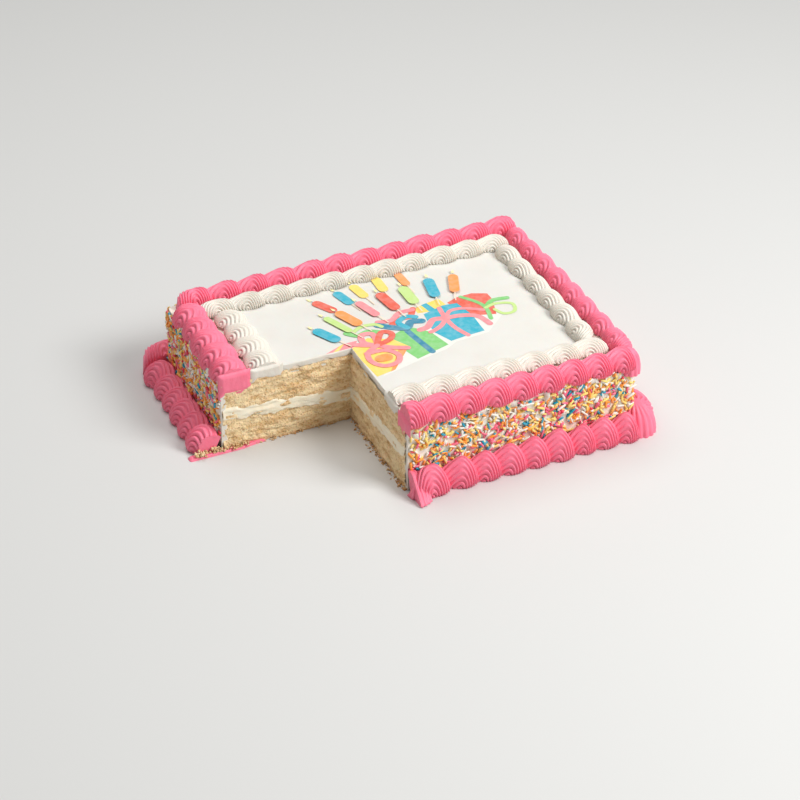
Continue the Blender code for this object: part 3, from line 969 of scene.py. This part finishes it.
def candle(sheet, colour, foot, top, width):
    """A printed candle on its stick, with a wick and a flame."""
    foot, top = np.array(foot, float), np.array(top, float)
    up = (top - foot) / np.linalg.norm(top - foot)
    side = np.array([up[1], -up[0]])
    half = width / 2
    sheet.strip("stick", (foot - up * 13, foot), 0.9)
    sheet.strip("wick", (top, top + up * 3.4), 0.7)
    sheet.strip(colour, (foot + up * half * 0.6, top - up * half * 0.6), width)
    sheet.strip("flame", (top + up * 4.6, top + up * 5.2), 2.3)
    tip = top + up * 5.4
    sheet.add("flame", [tip - side * 1.1, tip + side * 1.1, tip + up * 3.2])


# Settings and operators


class CakeSettings(bpy.types.PropertyGroup):
    """Sizes of the piping and the sprinkles."""

    ridge_depth: FloatProperty(name="Ridge depth", description="How deep the grooves between piped ridges are",
                               default=0.0021, min=0.0, max=0.004, unit="LENGTH")
    ridge_steps: IntProperty(name="Steps a ridge", description="Rows of faces across one piped ridge", default=5, min=3)
    unevenness: FloatProperty(name="Unevenness", description="How unevenly the shells are spaced, from 0 to 1",
                              default=0.35, min=0.0, max=1.0, subtype="FACTOR")
    sprinkles: IntProperty(name="Sprinkles", description="How many sugar rods are pressed on", default=4900)
    pink: FloatVectorProperty(name="Pink", description="Colour of the pink icing", default=(1.0, 0.22, 0.335), size=3,
                              min=0.0, max=1.0, subtype="COLOR")
    cream: FloatVectorProperty(name="White", description="Colour of the white icing", default=(0.80, 0.755, 0.68),
                               size=3, min=0.0, max=1.0, subtype="COLOR")


class StageSettings(bpy.types.PropertyGroup):
    """The floor, the camera and the light."""

    floor: FloatVectorProperty(name="Floor", description="Colour of the floor", default=(0.66, 0.66, 0.645), size=3,
                               min=0.0, max=1.0, subtype="COLOR")
    lens: FloatProperty(name="Lens", description="Focal length of the camera", default=99.93, unit="CAMERA")
    key: FloatProperty(name="Key light", description="Power of the main light in watts", default=32.0)
    fill: FloatProperty(name="Fill", description="Brightness of the surroundings", default=0.26)


def pink_icing(settings):
    found = bpy.data.materials.get("pink icing")
    deep = (settings.pink[0] * 0.97, settings.pink[1] * 0.7, settings.pink[2] * 0.76)
    return found or icing_finish("pink icing", tuple(settings.pink), deep)


def white_icing(settings):
    found = bpy.data.materials.get("white icing")
    return found or icing_finish("white icing", tuple(settings.cream), (0.80, 0.73, 0.62), 0.5)


class CAKE_OT_sponge(bpy.types.Operator):
    """Builds both sponge layers with their open crumb at the cut"""

    bl_idname = "cake.sponge"
    bl_label = "Sponge Layers"

    def execute(self, context):
        material = sponge_finish("golden sponge", (0.98, 0.75, 0.45), (0.68, 0.41, 0.17), (0.50, 0.19, 0.04))
        middle = CREAM_THICKNESS / 2
        layers = (
            ("sponge_lower", lambda x, y: 0 * x + 0 * y + 0.1, lambda x, y: cream_floor(x, y) + middle),
            ("sponge_upper", lambda x, y: cream_floor(x, y) + middle, lambda x, y: 0 * x + 0 * y + 58.5),
        )
        for number, (node, low, high) in enumerate(layers):
            parts = [slab(node)]
            for face, span in (("left", (0.6, CUT_X + 1.0)), ("front", (0.6, CUT_Y + 1.0))):
                parts.append(cut_skin(face, span, low, high, crumb_relief, 0.8, 10 * number + len(face)))
            piece = mixed_piece(f"{node}_crumb", parts, [material], (0,))
            settle(piece, "sponge", node)
        return {"FINISHED"}


class CAKE_OT_filling(bpy.types.Operator):
    """Spreads the cream between the sponge layers"""

    bl_idname = "cake.filling"
    bl_label = "Cream Filling"

    def execute(self, context):
        material = icing_finish("cream filling", (0.98, 0.89, 0.72), (0.92, 0.76, 0.50), 0.55, 0.15)
        parts = [slab("filling_cream")]
        for face, span in (("left", (1.0, CUT_X + 1.0)), ("front", (1.0, CUT_Y + 1.0))):
            low, high = (lambda x, y: cream_floor(x, y) - 2.5), (lambda x, y: cream_floor(x, y) + CREAM_THICKNESS + 2.5)
            parts.append(cut_skin(face, span, low, high, cream_relief, 0.8, 40 + len(face)))
        piece = mixed_piece("filling_spread", parts, [material], (0,))
        settle(piece, "cream", "filling_cream")
        return {"FINISHED"}


class CAKE_OT_icing(bpy.types.Operator):
    """Spreads icing over the walls and gives the coat and the sheet their finish"""

    bl_idname = "cake.icing"
    bl_label = "Icing Coat and Sheet"

    def execute(self, context):
        settings = context.scene.cake_settings
        spread = icing_finish("spread icing", (0.94, 0.89, 0.79), (0.88, 0.78, 0.62), 0.5)
        sheet = Finish("icing sheet", (0.755, 0.725, 0.68), 0.55, Subsurface_Weight=0.08, Subsurface_Scale=0.003)
        sheet.colour(sheet.mix((0.76, 0.73, 0.68), (0.735, 0.70, 0.645), sheet.noise(30.0, 3.0).over(0.4, 0.7)))
        sheet.bumps(sheet.noise(1.0, 2.0) + sheet.noise(12.0, 2.0) * 3.0, 0.05)
        for node, material in (("icing_coat", spread), ("printed_sheet", sheet.material)):
            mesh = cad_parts[node].data
            mesh.materials.clear()
            mesh.materials.append(material)
        _, run = wall_path()
        columns, rows = int(run[-1] / 1.5), 38
        at = np.broadcast_to(np.linspace(0, run[-1], columns), (rows, columns))
        height = np.broadcast_to(np.linspace(0.3, 60.2, rows)[:, None], (rows, columns))
        points, _ = on_wall(at, height, wall_rise(at, height))
        piece = make_piece("wall_icing", points.reshape(-1, 3), grid_faces(rows, columns)[:, ::-1], [spread])
        settle(piece, "icing")
        points, faces = joined([tuft(*values, number) for number, values in enumerate(TUFTS)])
        settle(make_piece("wall_tufts", points, faces, [white_icing(settings)]), "white_icing")
        return {"FINISHED"}


class CAKE_OT_picture(bpy.types.Operator):
    """Prints the candles and the presents on the sheet"""

    bl_idname = "cake.picture"
    bl_label = "Printed Picture"

    def execute(self, context):
        sheet = Print()
        for colour, outline in BOXES:
            sheet.add(colour, outline)
        for colour, width, points in RIBBONS:
            sheet.strip(colour, points, width)
        for number in range(len(CANDLES)):
            candle(sheet, *CANDLES[number])
        inks = list(INKS)
        materials = [print_finish(f"{ink} ink", INKS[ink]) for ink in inks]
        indices = [inks.index(ink) for ink in sheet.inks]
        piece = make_piece("printed_picture", sheet.points, sheet.faces, materials, indices, smooth=False)
        settle(piece, "printed_sheet")
        return {"FINISHED"}


class CAKE_OT_borders(bpy.types.Operator):
    """Pipes the pink and white shells round the top and the foot"""

    bl_idname = "cake.borders"
    bl_label = "Piped Borders"

    def execute(self, context):
        settings = context.scene.cake_settings
        for row in border_rows():
            node = row[0]
            points, faces = piped_row(row, settings)
            corners = [(points, faces)] + [fan_shell(*corner) for corner in CORNER_SHELLS.get(node, ())]
            points, faces = joined(corners)
            white = node.startswith("white")
            piece = make_piece(f"piped_{node}", points, faces, [(white_icing if white else pink_icing)(settings)])
            settle(piece, "white_icing" if white else "pink_icing", node)
        return {"FINISHED"}


def torn_shell():
    """The shell at the front foot that the knife went through, leaning out with its sliced side to the left."""
    low, high = node_box("pink_torn_shell")
    out, top = -low[1], high[2]
    shape = [(out - 1.5, 0.0), (out, 1.6), (0.86 * out, 0.26 * top), (0.66 * out, 0.52 * top),
             (0.48 * out, 0.78 * top), (0.3 * out, 0.97 * top), (0.1 * out, 0.98 * top), (0.0, 0.9 * top)]
    t = np.linspace(0, 1, 31)
    sizes = 0.97 - 0.2 * t + 0.04 * np.sin(math.pi * t)
    lifts = 1.1 * (np.abs(np.sin(math.pi * 3.2 * t + 0.5)) ** 0.8 - 0.6) * smooth_step(0.0, 0.12, t)
    stations = np.linspace(low[0], high[0] + 3.0, 31)
    points, faces = swept(Outline(shape, (0.2 * out, 0.0)), "front", stations, sizes, lifts, (0,))
    points[:, 2] = np.maximum(points[:, 2], 0.0)
    return points, faces


def floor_smear():
    """Icing drawn out flat on the ground by the knife, from the left foot row along the cut."""
    low, high = node_box("pink_smear")
    columns, rows = 90, 14
    u, v = np.meshgrid(np.linspace(0, 1, columns), np.linspace(0, 1, rows))
    x = low[0] + (high[0] - low[0]) * u
    depth = 9.5 * (1 - 0.7 * smooth_step(0.2, 1.0, u)) * smooth_step(-0.02, 0.05, u)
    front = np.maximum(CUT_Y - depth * (1 + 0.25 * ripple(x, 6, 3)), low[1])
    y = front + (CUT_Y + 0.5 - front) * v
    spots = np.stack([x, y, x * 0], axis=-1).reshape(-1, 3)
    rim = np.minimum(1, np.minimum(v * 5, np.minimum(u, 1 - u) * 24)) ** 0.5
    z = rim * (2.0 + 0.9 * layered(spots, 4.0, 3, 2).reshape(x.shape))
    points = np.stack([x, y, np.clip(z, 0.0, high[2])], axis=-1).reshape(-1, 3)
    return points, grid_faces(rows, columns)


SMEARS = (
    # name, slot, face, from, to, bottom, top, thickness
    ("smear_pink_left", "pink_icing", "left", -1.6, 24.5, 48.0, 67.5, 2.4),
    ("smear_white_left", "white_icing", "left", 23.0, 50.0, 54.0, 66.0, 2.0),
    ("smear_pink_front", "pink_icing", "front", -4.5, 16.0, 47.0, 62.0, 2.0),
    ("smear_white_front", "white_icing", "front", 15.5, 40.0, 55.0, 63.5, 1.8),
    ("edge_roof_left", "icing", "left", 48.0, CUT_X + 0.6, 57.4, 63.0, 0.7),
    ("edge_roof_front", "icing", "front", 38.0, CUT_Y + 0.6, 57.4, 63.0, 0.7),
    ("edge_wall_left", "icing", "left", -0.8, 4.2, 1.0, 60.0, 1.0),
    ("edge_wall_front", "icing", "front", -0.8, 4.2, 1.0, 60.0, 1.0),
)
UPRIGHT_WIDTH = 6.0  # a smear narrower than this runs up a wall's edge, and wanders


def cut_smear(face, start, end, bottom, top, thick, number):
    """A ragged patch of icing on one cut face."""
    u, v = np.meshgrid(np.linspace(0, 1, 40), np.linspace(0, 1, 24))
    along = start + (end - start) * u
    wave = 3.2 * ripple(along, 5, number)
    height = bottom + wave * (1 - v) + (top - bottom - wave * (1 - v)) * v
    if end - start < UPRIGHT_WIDTH:
        along = along + 0.9 * u * ripple(height, 4.0, 7)
    spots = np.stack([along, height * 0.5, along * 0], axis=-1).reshape(-1, 3)
    rim = np.minimum(np.minimum(v * 3.5, (1 - v) * 6), np.minimum(u, 1 - u) * 7)
    out = np.clip(rim, 0, 1) ** 0.6 * (thick + 0.3 * layered(spots, 3.5, 3, number).reshape(u.shape)) - 0.15
    if face == "left":
        points = np.stack([along, CUT_Y - out, height], axis=-1)
    else:
        points = np.stack([CUT_X - out, along, height], axis=-1)
    return points.reshape(-1, 3), grid_faces(24, 40)


class CAKE_OT_torn_ends(bpy.types.Operator):
    """Leaves the sliced shell at the front foot, the smear on the ground and the smears down the cut faces"""

    bl_idname = "cake.torn_ends"
    bl_label = "Torn Ends"

    def execute(self, context):
        pink = pink_icing(context.scene.cake_settings)
        white = white_icing(context.scene.cake_settings)
        settle(make_piece("torn_shell", *torn_shell(), [pink]), "pink_icing", "pink_torn_shell")
        settle(make_piece("floor_smear", *floor_smear(), [pink]), "pink_icing", "pink_smear")
        for number, (name, slot, *shape) in enumerate(SMEARS):
            points, faces = cut_smear(*shape, number)
            settle(make_piece(name, points, faces, [pink if slot == "pink_icing" else white]), slot)
        return {"FINISHED"}


def crumb_lumps(count, seed):
    """Loose crumbs lying along the foot of both cut faces and on the smear."""
    draw = np.random.default_rng(seed)
    golden = (1 + math.sqrt(5)) / 2
    ends = list(product((-1, 1), repeat=2))
    base = np.array([(a, b * golden, 0) for a, b in ends] + [(0, a, b * golden) for a, b in ends]
                    + [(b * golden, 0, a) for a, b in ends], float)
    length = np.linalg.norm(base[:, None] - base[None], axis=2)
    faces = [(i, j, k) for i in range(12) for j in range(i + 1, 12) for k in range(j + 1, 12)
             if max(length[i, j], length[j, k], length[i, k]) < 2.1]
    faces = [f if np.dot(np.cross(base[f[1]] - base[f[0]], base[f[2]] - base[f[0]]), base[f[0]]) > 0 else f[::-1]
             for f in faces]
    parts = []
    for number in range(count):
        size = draw.uniform(0.35, 1.0)
        kind = number % 5
        if kind < 2:
            at = (CUT_X - 0.6 - abs(draw.normal(0, 1.6)), draw.uniform(0, CUT_Y - 4), 0.5 * size)
        elif kind < 3:
            at = (draw.uniform(4, CUT_X - 4), CUT_Y - 0.6 - abs(draw.normal(0, 1.2)), 0.5 * size)
        else:
            at = (draw.uniform(-22, 20), CUT_Y - abs(draw.normal(1.5, 1.5)), 1.6 + abs(draw.normal(0, 1.6)))
        jitter = 1 + 0.3 * draw.standard_normal(12)[:, None]
        parts.append((np.array(at) + base * jitter * size * 0.6, np.array(faces)))
    points, faces = joined(parts)
    points[:, 2] = np.maximum(points[:, 2], 0.0)
    return points, faces


class CAKE_OT_crumbs(bpy.types.Operator):
    """Drops loose crumbs along the foot of the cut"""

    bl_idname = "cake.crumbs"
    bl_label = "Loose Crumbs"

    def execute(self, context):
        points, faces = crumb_lumps(420, 6)
        settle(make_piece("loose_crumbs", points, faces, [bpy.data.materials["golden sponge"]]), "sponge")
        return {"FINISHED"}


class CAKE_OT_sprinkles(bpy.types.Operator):
    """Presses sugar rods of six colours into the walls"""

    bl_idname = "cake.sprinkles"
    bl_label = "Sprinkles"

    def execute(self, context):
        made = scatter_rods(context.scene.cake_settings)
        for name, colour, _ in SUGARS:
            points, faces = joined(made[name])
            piece = make_piece(f"sprinkles_{name}", points, faces, [sugar_finish(f"{name} sugar", colour)])
            settle(piece, "icing")
        return {"FINISHED"}


CAMERA_AT = (-0.5816, -1.26364, 0.98493)
# In degrees: down from level, round from straight behind the front, and the slight tilt of the horizon.
CAMERA_DOWN = 35.231
CAMERA_TURN = -24.86
CAMERA_ROLL = 0.46


class CAKE_OT_stage(bpy.types.Operator):
    """Sets out the floor, the camera and the lights"""

    bl_idname = "cake.stage"
    bl_label = "Stage"

    def execute(self, context):
        stage = context.scene.cake_stage
        scene = context.scene
        bpy.ops.mesh.primitive_plane_add(size=12, location=(0, 0, 0))
        floor = context.active_object
        floor.name = "floor"
        pale = Finish("pale floor", tuple(stage.floor), 0.8)
        floor.data.materials.append(pale.material)
        floor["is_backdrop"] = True
        camera = bpy.data.objects.new("camera", bpy.data.cameras.new("camera"))
        scene.collection.objects.link(camera)
        camera.location = CAMERA_AT
        turn = Euler((math.radians(90 - CAMERA_DOWN), 0.0, math.radians(CAMERA_TURN))).to_matrix()
        camera.rotation_euler = (turn @ Matrix.Rotation(math.radians(CAMERA_ROLL), 3, "Z")).to_euler()
        camera.data.lens = stage.lens
        camera.data.sensor_width = 36.0
        scene.camera = camera
        for name, power, size, at, aim in (
            ("key", stage.key, 0.8, (0.95, -1.0, 1.35), (0, 0, 0)),
            ("top", stage.key * 0.42, 1.2, (-0.1, 0.5, 1.6), (0, 0, 0)),
        ):
            light = bpy.data.lights.new(name, "AREA")
            light.energy = power
            light.size = size
            lamp = bpy.data.objects.new(name, light)
            scene.collection.objects.link(lamp)
            lamp.location = at
            direction = np.array(aim) - np.array(at)
            lamp.rotation_euler = (
                math.acos(-direction[2] / np.linalg.norm(direction)), 0,
                math.atan2(direction[1], direction[0]) - math.pi / 2,
            )
        world = bpy.data.worlds.new("studio")
        world.use_nodes = True
        background = world.node_tree.nodes["Background"]
        background.inputs["Color"].default_value = (1.0, 0.99, 0.97, 1.0)
        background.inputs["Strength"].default_value = stage.fill
        scene.world = world
        scene.view_settings.view_transform = "Standard"
        return {"FINISHED"}


STEPS = (CAKE_OT_sponge, CAKE_OT_filling, CAKE_OT_icing, CAKE_OT_picture, CAKE_OT_borders,
         CAKE_OT_torn_ends, CAKE_OT_crumbs, CAKE_OT_sprinkles, CAKE_OT_stage)


class CAKE_PT_panel(bpy.types.Panel):
    """Lists the steps of making the cake"""

    bl_idname = "CAKE_PT_panel"
    bl_label = "Birthday Cake"
    bl_space_type = "VIEW_3D"
    bl_region_type = "UI"
    bl_category = "Cake"

    def draw(self, context):
        for name in ("cake_settings", "cake_stage"):
            group = getattr(context.scene, name)
            for key in group.__annotations__:
                self.layout.prop(group, key)
        for step in STEPS:
            self.layout.operator(step.bl_idname)


CLASSES = (CakeSettings, StageSettings, *STEPS, CAKE_PT_panel)


def register():
    for cls in CLASSES:
        bpy.utils.register_class(cls)
    bpy.types.Scene.cake_settings = PointerProperty(type=CakeSettings)
    bpy.types.Scene.cake_stage = PointerProperty(type=StageSettings)


def unregister():
    del bpy.types.Scene.cake_stage
    del bpy.types.Scene.cake_settings
    for cls in reversed(CLASSES):
        bpy.utils.unregister_class(cls)


def main():
    register()
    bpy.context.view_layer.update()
    for step in STEPS:
        group, name = step.bl_idname.split(".")
        getattr(getattr(bpy.ops, group), name)()


if __name__ == "__main__":
    main()
